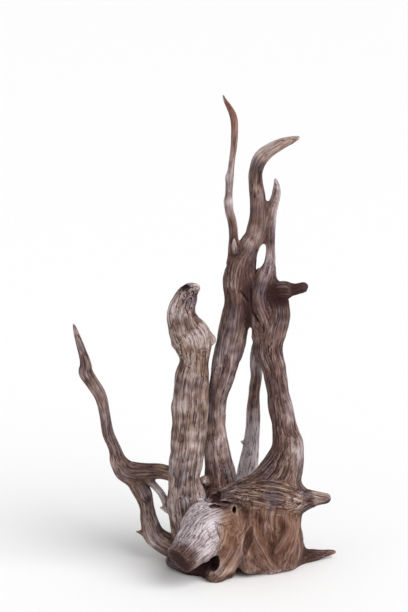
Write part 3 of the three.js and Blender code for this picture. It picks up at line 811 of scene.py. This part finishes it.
class Driftwood:
    """The whole piece of wood: its shape, its furrows and its finish."""

    COARSE = 1.9
    FINE = 1.45
    MOST_TRIANGLES = 196_000
    SETTLINGS = 4
    LONGEST_MOVE = 3.0
    LUMP = Relief(1.9, (34.0, 34.0, 34.0))
    WART = Relief(0.8, (15.0, 15.0, 15.0))
    FLUTE = Relief(0.65, (13.0, 13.0, 150.0))
    RIDGE = Relief(0.42, (3.6, 3.6, 70.0))
    CRACK = Relief(1.7, (9.0, 9.0, 160.0))
    CRACKED_PATCH = Relief(1.0, (22.0, 22.0, 70.0))
    WANDER = Relief(3.0, (40.0, 40.0, 70.0))
    FULL_LIMB = 22.0  # the half width of a limb whose relief is as high as it says
    SOLE = 0.9  # what is lower than this lies in the saw cut
    CREASES = (4, 0.55)  # how many times the skin is worn to find the creases that get painted shade, and how deep a full one is
    # The same for the wider recesses, whose depth holds back the bleaching: partly less sun bleaching, partly
    # painted shade.
    SHELTERS = (40, 3.0)

    def __init__(self) -> None:
        """Lays out the limbs."""
        self.skeleton = Skeleton(sorted(STEMS + ROOTS, key=self._bulk, reverse=True), HOLLOWS)

    @staticmethod
    def _bulk(limb: Limb) -> float:
        """How thick a limb is, for putting the larger first."""
        return max(station[3] for station in limb.stations)

    def build(self) -> bpy.types.Object:
        """Models the wood.

        Returns:
            The finished piece, dressed.
        """
        self.wood = self._join_limbs()
        self._remesh(self.COARSE)
        for _ in range(self.SETTLINGS):
            normals = read_vectors(self.wood.data.vertex_normals, "vector")
            write_points(self.wood, self.skeleton.settle(read_points(self.wood), normals, self.LONGEST_MOVE))
        self._modify("wear", "SMOOTH", factor=0.5, iterations=2)
        self._saw_flat()
        self._hollow_out()
        self._remesh(self.FINE)
        self._modify("wear", "SMOOTH", factor=0.5, iterations=3)
        self._furrow()
        self._thin_out()
        write_points(self.wood, read_points(self.wood) - HEART)
        self._weather()
        return self.wood

    def _join_limbs(self) -> bpy.types.Object:
        """Models each limb and joins them into one object.

        Returns:
            The joined limbs, which still run through each other.
        """
        tubes = []
        for course in self.skeleton.courses:
            tubes.append(course.tube())
            log.info("limb: %s", course.limb.name)
        for tube in tubes:
            tube.select_set(True)
        bpy.context.view_layer.objects.active = tubes[0]
        bpy.ops.object.join()
        wood = bpy.context.object
        wood.name = wood.data.name = "driftwood_looks"
        return wood

    def _modify(self, name: str, kind: str, **settings: Any) -> None:
        """Puts a modifier on the wood and applies it.

        Args:
            name: what it does to the wood.
            kind: the modifier's type.
            settings: its settings.
        """
        modifier = self.wood.modifiers.new(name, kind)
        for setting, value in settings.items():
            setattr(modifier, setting, value)
        bpy.ops.object.modifier_apply(modifier=modifier.name)

    def _remesh(self, size: float) -> None:
        """Gives the wood one even skin, and drops every loose shell but the largest.

        Args:
            size: the size of a facet.
        """
        self._modify("skin", "REMESH", mode="VOXEL", voxel_size=size * MM)
        ends = self._edges()
        shell = np.arange(len(self.wood.data.vertices))
        while True:
            lowest = np.minimum(shell[ends[:, 0]], shell[ends[:, 1]])
            joined = shell.copy()
            np.minimum.at(joined, shell[ends[:, 0]], lowest)
            np.minimum.at(joined, shell[ends[:, 1]], lowest)
            joined = joined[joined]
            if (joined == shell).all():
                break
            shell = joined
        loose = shell != np.bincount(shell).argmax()
        log.info("skin: %d points, %d of them loose", len(shell), int(loose.sum()))
        bpy.ops.object.mode_set(mode="EDIT")
        bpy.ops.mesh.select_mode(type="VERT")
        bpy.ops.mesh.select_all(action="DESELECT")
        bpy.ops.object.mode_set(mode="OBJECT")
        self.wood.data.vertices.foreach_set("select", loose)
        bpy.ops.object.mode_set(mode="EDIT")
        bpy.ops.mesh.delete(type="VERT")
        bpy.ops.object.mode_set(mode="OBJECT")

    def _edges(self) -> np.ndarray:
        """The two ends of each edge of the wood, one edge to a row."""
        ends = np.empty(len(self.wood.data.edges) * 2, np.int32)
        self.wood.data.edges.foreach_get("vertices", ends)
        return ends.reshape(-1, 2)

    def _saw_flat(self) -> None:
        """Saws off everything below the floor."""
        bpy.ops.object.select_all(action="DESELECT")
        bpy.ops.mesh.primitive_cube_add(size=1, location=(0, 0, -0.1), scale=(1, 1, 0.2))
        self._cut_away(bpy.context.object, "saw cut")

    def _hollow_out(self) -> None:
        """Eats the hollows out of the wood."""
        for hollow in self.skeleton.hollows:
            bpy.ops.object.select_all(action="DESELECT")
            bpy.ops.mesh.primitive_ico_sphere_add(
                subdivisions=4,
                radius=1,
                location=[value * MM for value in hollow.centre],
                rotation=[math.radians(value) for value in hollow.turn],
                scale=[value * MM for value in hollow.radii],
            )
            self._cut_away(bpy.context.object, hollow.name)

    def _cut_away(self, cutter: bpy.types.Object, name: str) -> None:
        """Takes a cutter's shape out of the wood, and stops the script if it takes nothing.

        Args:
            cutter: what to take away; it is used up.
            name: what the cut is.
        """
        bpy.ops.object.transform_apply(location=True, rotation=True, scale=True)
        bpy.context.view_layer.objects.active = self.wood
        before = len(self.wood.data.vertices)
        self._modify(name, "BOOLEAN", operation="DIFFERENCE", solver="MANIFOLD", object=cutter)
        bpy.data.objects.remove(cutter)
        change = len(self.wood.data.vertices) - before
        log.info("cut: %s, %+d points", name, change)
        if not change:
            raise RuntimeError(f"the {name} took nothing away")

    def _furrow(self) -> None:
        """Raises the lumps, flutes, furrows and cracks of the grain."""
        points = read_points(self.wood)
        normals = read_vectors(self.wood.data.vertex_normals, "vector")
        places, share, _, build = self.skeleton.grain(points)
        figure = build[:, 0]
        thick = np.clip(build[:, 1] / self.FULL_LIMB, 0.2, 1.15)
        lump, flute, ridge, split, patch, warp = (WoodNoise(seed) for seed in range(3, 9))
        rise = sum(kind.height * thick * lump.at(points, kind.size) for kind in (self.LUMP, self.WART))
        for strand in range(STRANDS):
            place = places[strand]
            sway = np.stack([warp.at(place + 50 * axis, self.WANDER.size) for axis in (1, 2)], axis=1)
            place = place + np.concatenate([self.WANDER.height * sway, np.zeros((len(place), 1))], axis=1)
            grain = self.FLUTE.height * thick * flute.at(place, self.FLUTE.size)
            grain += self.RIDGE.height * np.sqrt(thick) * figure * ridge.at(place, self.RIDGE.size)
            line = smooth_step(0.07, 0.0, np.abs(split.at(place, self.CRACK.size)))
            where = smooth_step(0.12, 0.45, patch.at(place, self.CRACKED_PATCH.size))
            grain -= self.CRACK.height * thick * figure * line * where
            rise += share[strand] * grain
        rise *= smooth_step(0.0, 4.0, points[:, 2])
        points = points + normals * rise[:, None]
        points[:, 2] = np.where(points[:, 2] < self.SOLE, 0.0, points[:, 2])
        write_points(self.wood, points)

    def _thin_out(self) -> None:
        """Brings the skin down to its number of triangles, keeping most where it bends most."""
        self.wood.data.calc_loop_triangles()
        ratio = min(1.0, self.MOST_TRIANGLES / len(self.wood.data.loop_triangles))
        self._modify("thin", "DECIMATE", ratio=ratio, use_collapse_triangulate=True)
        bpy.ops.object.shade_smooth()

    def _weather(self) -> None:
        """Notes on every vertex how the grain runs there, what the weather has done, and where shade and
        light are painted.
        """
        points = read_points(self.wood) + HEART
        places, share, weather, build = self.skeleton.grain(points)
        for stain in STAINS:
            spread = ((points - np.array(stain.centre)) / np.array(stain.radii)) ** 2
            weather += np.exp(-spread.sum(1))[:, None] * np.array(stain.change.as_row())
        # Painted shade: the inside of each hollow and the skin just around it are darkened.
        for hollow in self.skeleton.hollows:
            spread = np.linalg.norm((points - np.array(hollow.centre)) / np.array(hollow.radii), axis=1)
            weather[:, 2] = np.maximum(weather[:, 2], hollow.hollow_shade * smooth_step(1.35, 0.95, spread))
        for strand in range(STRANDS):
            self._note(f"grain_{strand}", places[strand] * MM)
        self._note("share", share.T)
        self._note("weather", weather[:, :3])
        # How deep each vertex lies in a crease and in a recess, which the finish turns into painted shade,
        # and the tan.
        self._note("shelter", np.stack([*self._hollowness(points), weather[:, 3]], axis=1))
        self._note("figure", np.repeat(build[:, :1], 3, axis=1))

    def _hollowness(self, points: np.ndarray) -> list[np.ndarray]:
        """How far each vertex lies below the skin around it, near by and farther off, which the finish paints
        shade by.

        Args:
            points: the wood's vertices.

        Returns:
            Two lists of values, about 0.5 on a flat place and 1 deep in a hollow, the depths of painted
            shade.
        """
        ends = self._edges()
        normals = read_vectors(self.wood.data.vertex_normals, "vector")
        count = np.bincount(ends.ravel(), minlength=len(points)).astype(float)
        worn = points.copy()
        found = []
        for passes, depth in (self.CREASES, self.SHELTERS):
            for _ in range(passes):
                total = np.stack(
                    [
                        np.bincount(ends[:, 0], worn[ends[:, 1], i], len(points))
                        + np.bincount(ends[:, 1], worn[ends[:, 0], i], len(points))
                        for i in range(3)
                    ],
                    axis=1,
                )
                worn = 0.4 * worn + 0.6 * total / count[:, None]
            below = np.einsum("ij,ij->i", worn - points, normals) / depth
            found.append(np.clip(0.5 + 0.5 * below, 0, 1))
        return found

    def _note(self, name: str, values: np.ndarray) -> None:
        """Writes three values on every vertex.

        Args:
            name: the name that the finish reads them by.
            values: one row for each vertex.
        """
        attribute = self.wood.data.attributes.new(name, "FLOAT_VECTOR", "POINT")
        attribute.data.foreach_set("vector", values.astype(np.float32).ravel())


class Value:
    """A shader socket that takes part in Python's arithmetic."""

    def __init__(self, graph: Graph, socket: bpy.types.NodeSocket) -> None:
        """Wraps a socket.

        Args:
            graph: the graph that the socket is in.
            socket: the output socket.
        """
        self.graph = graph
        self.socket = socket

    def __add__(self, other: Value | float) -> Value:
        """This plus other."""
        return self.graph.maths("ADD", self, other)

    __radd__ = __add__

    def __sub__(self, other: Value | float) -> Value:
        """This less other."""
        return self.graph.maths("SUBTRACT", self, other)

    def __rsub__(self, other: float) -> Value:
        """Other less this."""
        return self.graph.maths("SUBTRACT", other, self)

    def __mul__(self, other: Value | float) -> Value:
        """This times other."""
        return self.graph.maths("MULTIPLY", self, other)

    __rmul__ = __mul__


class Graph:
    """A material's nodes."""

    def __init__(self, name: str) -> None:
        """Starts an empty material.

        Args:
            name: the material's name.
        """
        self.material = bpy.data.materials.new(name)
        self.material.use_nodes = True
        self.nodes = self.material.node_tree.nodes
        self.links = self.material.node_tree.links
        self.nodes.clear()

    def node(
        self,
        kind: str,
        settings: dict[str, Any] | None = None,
        inputs: dict[str | int, Any] | None = None,
        output: str | int = 0,
    ) -> Value | None:
        """Adds a node.

        Args:
            kind: the node's type.
            settings: its settings, set first; stops are a ramp's places and colours.
            inputs: the values or links of its sockets.
            output: which of its outputs is wanted.

        Returns:
            The wanted output, which a Material Output node has none of.
        """
        node = self.nodes.new(kind)
        for name, setting in (settings or {}).items():
            if name == "stops":
                self._set_stops(node, setting)
            else:
                setattr(node, name, setting)
        for key, entry in (inputs or {}).items():
            if isinstance(entry, Value):
                self.links.new(entry.socket, node.inputs[key])
            else:
                node.inputs[key].default_value = entry
        return Value(self, node.outputs[output]) if node.outputs else None

    @staticmethod
    def _set_stops(node: bpy.types.Node, stops: Sequence[tuple[float, tuple[float, ...]]]) -> None:
        """Gives a ramp its stops.

        Args:
            node: the ramp.
            stops: places and colours, in order.
        """
        elements = node.color_ramp.elements
        while len(elements) < len(stops):
            elements.new(0.5)
        for element, (place, colour) in zip(elements, stops):
            element.position = place
            element.color = (*colour, 1.0)

    def maths(self, operation: str, *values: Value | float) -> Value:
        """Adds a Math node.

        Args:
            operation: what it works out.
            values: its inputs.

        Returns:
            The result.
        """
        return self.node("ShaderNodeMath", {"operation": operation}, dict(enumerate(values)))

    def ramp(self, value: Value, low: float, high: float, start: float = 0.0, end: float = 1.0) -> Value:
        """Maps a value smoothly from one range to another.

        Args:
            value: what is mapped.
            low: the value that gives start.
            high: the value that gives end.
            start: the result at low and below.
            end: the result at high and above.

        Returns:
            The mapped value.
        """
        return self.node(
            "ShaderNodeMapRange",
            {"interpolation_type": "SMOOTHSTEP"},
            {"Value": value, "From Min": low, "From Max": high, "To Min": start, "To Max": end},
        )

    def colours(self, value: Value, stops: Sequence[tuple[float, tuple[float, ...]]]) -> Value:
        """Turns a value into a colour along a ramp."""
        return self.node("ShaderNodeValToRGB", {"stops": stops}, {"Fac": value})

    def blend(self, share: Value | float, first: Any, second: Any, mode: str = "MIX") -> Value:
        """Mixes two colours.

        Args:
            share: how much of the second.
            first: a colour or its socket.
            second: a colour or its socket.
            mode: how they mix.

        Returns:
            The mixed colour.
        """
        settings = {"data_type": "RGBA", "blend_type": mode}
        return self.node("ShaderNodeMix", settings, {0: share, 6: first, 7: second}, 2)


@dataclass(frozen=True)
class Tones:
    """A dark, a middle and a light colour of one kind of wood, in linear light."""

    dark: tuple[float, float, float]
    middle: tuple[float, float, float]
    light: tuple[float, float, float]

    def stops(self) -> list[tuple[float, tuple[float, float, float]]]:
        """The colours as the stops of a ramp, from a groove to a crest."""
        return [(0.12, self.dark), (0.5, self.middle), (0.88, self.light)]


@dataclass(frozen=True)
class WeatheredWood:
    """The finish of the whole piece, with painted shade in its creases, recesses and hollows and painted
    light from some stains.

    Attributes:
        heart: brown heartwood.
        tan: drier, yellower wood.
        bleached: wood that the sun has silvered.
        chalky_and_lit: the whitest of it, which also paints light where stains raise the bleaching past one.
        cool: damp patches of a bluer brown.
        rust: the stain in crotches and at the whip's end.
        dark_wood_and_shade: the colour of the darkest wood, and the painted shade of deep hollows and
            crevices.
        furrow: the width of a furrow, in metres.
    """

    heart: Tones = Tones((0.034, 0.016, 0.014), (0.13, 0.07, 0.06), (0.32, 0.205, 0.175))
    tan: Tones = Tones((0.06, 0.034, 0.025), (0.22, 0.132, 0.094), (0.42, 0.3, 0.235))
    bleached: Tones = Tones((0.12, 0.088, 0.096), (0.42, 0.345, 0.36), (0.7, 0.63, 0.66))
    chalky_and_lit: Tones = Tones((0.26, 0.2, 0.205), (0.68, 0.58, 0.59), (0.86, 0.8, 0.81))
    cool: Tones = Tones((0.036, 0.026, 0.032), (0.13, 0.1, 0.115), (0.33, 0.28, 0.3))
    rust: tuple[float, float, float] = (0.25, 0.09, 0.042)
    dark_wood_and_shade: tuple[float, float, float] = (0.03, 0.009, 0.008)
    furrow: float = 0.0021

    def material(self) -> bpy.types.Material:
        """Builds the material.

        Returns:
            The material.
        """
        graph = Graph("weathered_wood")
        share = self._parts(graph, "share")
        bleach_and_light, rust, dark = self._parts(graph, "weather")
        crease, shelter, tan = self._parts(graph, "shelter")
        figure = self._parts(graph, "figure")[0]
        fine, broad, crack, fibre = (
            self._over_strands(graph, share, self._streaks(graph, kind))
            for kind in ("fine", "broad", "crack", "fibre")
        )
        points = graph.node("ShaderNodeTexCoord", output="Object")
        cloud = self._noise(graph, points, 1 / 0.035, 3.0, 0.55)
        patch = self._noise(graph, points, 1 / 0.012, 3.0, 0.6)

        bold = graph.ramp(figure, 1.0, 2.0, 0.4, 1.5)
        # Painted shade: the tone darkens in creases.
        tone = self._sway(
            0.5, (fine, 0.8), (broad, bold), (fibre, 0.5), (patch, 0.4), (cloud, 0.6), (crease, -0.8)
        ) - crack * graph.ramp(figure, 1.0, 2.0, 0.38, 0.7)
        brown = graph.colours(tone, self.heart.stops())
        sandy = graph.colours(tone, self.tan.stops())
        silver_and_light = graph.colours(tone, self.bleached.stops())
        # Bleaching past one turns to the whitest tone: real bleaching, and painted light on a shaded stretch
        # and some highlights.
        silver_and_light = graph.blend(graph.ramp(bleach_and_light, 1.0, 2.2), silver_and_light, graph.colours(tone, self.chalky_and_lit.stops()))
        sandiness = graph.ramp(self._sway(tan, (cloud, 0.9), (broad, 1.0)), 0.1, 0.8)
        # Recesses are bleached less: partly less sun bleaching, partly painted shade.
        silvering_and_light = graph.ramp(self._sway(bleach_and_light, (cloud, 0.9), (broad, 0.5), (shelter, -0.6)), 0.15, 0.95)
        rusting = graph.ramp(self._sway(rust, (patch, 0.9), (broad, 0.5)), 0.3, 1.0, 0.0, 0.6)
        # The dark amount holds dark knots and wood, and also the painted shade in hollows, crevices and
        # beside the knot.
        darkening_and_shading = graph.ramp(self._sway(dark, (patch, 0.5), (fine, -0.35)), 0.25, 1.0, 0.0, 0.93)
        damp = graph.colours(tone, self.cool.stops())
        dampness = graph.ramp(self._sway(1 - cloud, (broad, 0.6)), 0.48, 0.72, 0.0, 0.75)
        colour = graph.blend(sandiness, brown, sandy)
        colour = graph.blend(dampness, colour, damp)
        colour = graph.blend(silvering_and_light, colour, silver_and_light)
        colour = graph.blend(rusting, colour, graph.blend(0.55, colour, (*self.rust, 1.0)))
        colour = graph.blend(darkening_and_shading, colour, (*self.dark_wood_and_shade, 1.0))

        height = fine * 0.5 + broad * 0.25 + fibre * 0.25 - crack * 0.9 + patch * 0.12
        bump = graph.node("ShaderNodeBump", inputs={"Strength": 0.8, "Distance": 0.0016, "Height": height})
        roughness = graph.ramp(fine, 0.2, 0.8, 0.88, 0.68)
        shader = graph.node(
            "ShaderNodeBsdfPrincipled",
            inputs={"Base Color": colour, "Roughness": roughness, "Normal": bump, "Specular IOR Level": 0.18},
        )
        graph.node("ShaderNodeOutputMaterial", inputs={"Surface": shader})
        return graph.material

    @staticmethod
    def _sway(base: Value | float, *parts: tuple[Value, Value | float]) -> Value:
        """Adds to a value what others stray from their middle.

        Args:
            base: the value.
            parts: each other value, and its weight.

        Returns:
            The sum.
        """
        for value, weight in parts:
            base = base + (value - 0.5) * weight
        return base

    @staticmethod
    def _parts(graph: Graph, name: str) -> list[Value]:
        """The three values of one of the wood's attributes.

        Args:
            graph: the graph to add to.
            name: the attribute.

        Returns:
            The values in order.
        """
        vector = graph.node("ShaderNodeAttribute", {"attribute_name": name}, output="Vector")
        return [graph.node("ShaderNodeSeparateXYZ", inputs={"Vector": vector}, output=i) for i in range(3)]

    @staticmethod
    def _noise(graph: Graph, vector: Value, scale: float, detail: float, roughness: float) -> Value:
        """Noise at a place.

        Args:
            graph: the graph to add to.
            vector: the place.
            scale: features to a metre.
            detail: how many finer layers it has.
            roughness: how strong they are.

        Returns:
            The noise, about 0.5.
        """
        return graph.node(
            "ShaderNodeTexNoise",
            inputs={"Vector": vector, "Scale": scale, "Detail": detail, "Roughness": roughness},
        )

    def _streaks(self, graph: Graph, kind: str) -> list[Value]:
        """One kind of streak along each strand of the grain.

        Args:
            graph: the graph to add to.
            kind: fine, broad, crack or fibre.

        Returns:
            The streaks of each strand.
        """
        across, along = {
            "fine": (self.furrow, 0.085),
            "broad": (0.0065, 0.13),
            "crack": (0.0055, 0.13),
            "fibre": (0.001, 0.03),
        }[kind]
        streaks = []
        for strand in range(STRANDS):
            place = graph.node("ShaderNodeAttribute", {"attribute_name": f"grain_{strand}"}, output="Vector")
            wave = graph.node(
                "ShaderNodeTexNoise",
                inputs={"Vector": place, "Scale": 1 / 0.05, "Detail": 1.0},
                output="Color",
            )
            drift = graph.node("ShaderNodeVectorMath", {"operation": "SCALE"}, {0: wave, "Scale": 0.007})
            place = graph.node("ShaderNodeVectorMath", {"operation": "ADD"}, {0: place, 1: drift})
            stretched = graph.node(
                "ShaderNodeVectorMath",
                {"operation": "MULTIPLY"},
                {0: place, 1: (1 / across, 1 / across, 1 / along)},
            )
            noise = self._noise(graph, stretched, 1.0, 2.0, 0.55)
            if kind == "crack":
                line = graph.maths("ABSOLUTE", noise - 0.5)
                noise = graph.ramp(line, 0.035, 0.0)
            streaks.append(noise)
        return streaks

    @staticmethod
    def _over_strands(graph: Graph, share: Sequence[Value], streaks: Sequence[Value]) -> Value:
        """Brings the strands' streaks together, each by its share."""
        total = share[0] * streaks[0]
        for part, streak in zip(share[1:], streaks[1:]):
            total = total + part * streak
        return total


@dataclass(frozen=True)
class Studio:
    """A pale floor, soft light and the camera.

    Attributes:
        target: what the camera looks at, in metres.
        distance: how far away it is.
        elevation: how many degrees it looks down.
        lens: its focal length in millimetres.
    """

    target: tuple[float, float, float] = (0.0, 0.0, 0.4)
    distance: float = 3.0
    elevation: float = 12.0
    lens: float = 36.0 * 2000 / 612

    def build(self) -> None:
        """Sets up everything that isn't the object."""
        self._floor()
        self._lights()
        self._camera()
        bpy.context.scene.view_settings.view_transform = "Standard"

    @staticmethod
    def _floor() -> None:
        """Lays a pale floor."""
        bpy.ops.object.select_all(action="DESELECT")
        bpy.ops.mesh.primitive_plane_add(size=60)
        floor = bpy.context.object
        floor.name = "floor"
        graph = Graph("pale_floor")
        finish = {"Base Color": (0.95, 0.95, 0.95, 1), "Roughness": 0.9}
        shader = graph.node("ShaderNodeBsdfPrincipled", inputs=finish)
        graph.node("ShaderNodeOutputMaterial", inputs={"Surface": shader})
        floor.data.materials.append(graph.material)
        floor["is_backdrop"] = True

    def _lights(self) -> None:
        """Hangs a soft key at the upper right, a weaker fill at the left and a white surround."""
        world = bpy.data.worlds.new("studio")
        bpy.context.scene.world = world
        world.use_nodes = True
        surround = world.node_tree.nodes["Background"]
        surround.inputs["Color"].default_value = (1, 1, 1, 1)
        surround.inputs["Strength"].default_value = 0.5
        self._whiten_behind(world.node_tree)
        for name, place, spread, power in (
            ("key", (1.9, -1.5, 2.6), 55, 2.5),
            ("fill", (-2.0, -2.6, 1.6), 70, 0.25),
        ):
            bpy.ops.object.light_add(type="SUN", location=place)
            light = bpy.context.object
            light.name = name
            light.data.angle = math.radians(spread)
            light.data.energy = power
            towards = Vector(self.target) - Vector(place)
            light.rotation_euler = towards.to_track_quat("-Z", "Y").to_euler()

    @staticmethod
    def _whiten_behind(tree: bpy.types.NodeTree) -> None:
        """Shows the surround as white behind the wood, however little it lights.

        Args:
            tree: the surround's nodes.
        """
        path = tree.nodes.new("ShaderNodeLightPath")
        backdrop = tree.nodes.new("ShaderNodeBackground")
        backdrop.inputs["Color"].default_value = (1, 1, 1, 1)
        choice = tree.nodes.new("ShaderNodeMixShader")
        tree.links.new(path.outputs["Is Camera Ray"], choice.inputs["Fac"])
        tree.links.new(tree.nodes["Background"].outputs["Background"], choice.inputs[1])
        tree.links.new(backdrop.outputs["Background"], choice.inputs[2])
        tree.links.new(choice.outputs["Shader"], tree.nodes["World Output"].inputs["Surface"])

    def _camera(self) -> None:
        """Stands the camera in front, looking slightly down."""
        tilt = math.radians(self.elevation)
        target = Vector(self.target) - Vector(HEART * MM)
        place = target + self.distance * Vector((0, -math.cos(tilt), math.sin(tilt)))
        bpy.ops.object.camera_add(location=place)
        camera = bpy.context.object
        camera.name = "camera"
        camera.data.lens = self.lens
        camera.data.sensor_width = 36.0
        camera.rotation_euler = (target - place).to_track_quat("-Z", "Y").to_euler()
        bpy.context.scene.camera = camera


def check_size(cad_box: Sequence[Sequence[float]], box: Sequence[Sequence[float]]) -> None:
    """Stops the script if the wood has lost a limb or grown past its frame.

    Args:
        cad_box: the frame's lowest and highest corners.
        box: the wood's lowest and highest corners.
    """
    low, high = np.array(cad_box)
    slack = 0.03 * (high - low) + 0.01
    if (np.abs(np.array(box) - np.array(cad_box)) > slack).any():
        raise RuntimeError(f"the wood fills {box}, and its frame is {cad_box}")


def main() -> None:
    """Builds the wood and the studio."""
    logging.basicConfig(level=logging.INFO, format="%(name)s: %(message)s")
    cad_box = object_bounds()
    Studio().build()
    wood = Driftwood().build()
    wood.data.materials.clear()
    wood.data.materials.append(WeatheredWood().material())
    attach(wood, "root")
    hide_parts(NODE)
    wood.data.calc_loop_triangles()
    log.info("piece: %s, %d triangles", wood.name, len(wood.data.loop_triangles))
    boxes = [[list(corner) for corner in box] for box in (cad_box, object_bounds())]
    check_size(*boxes)


if __name__ == "__main__":
    main()
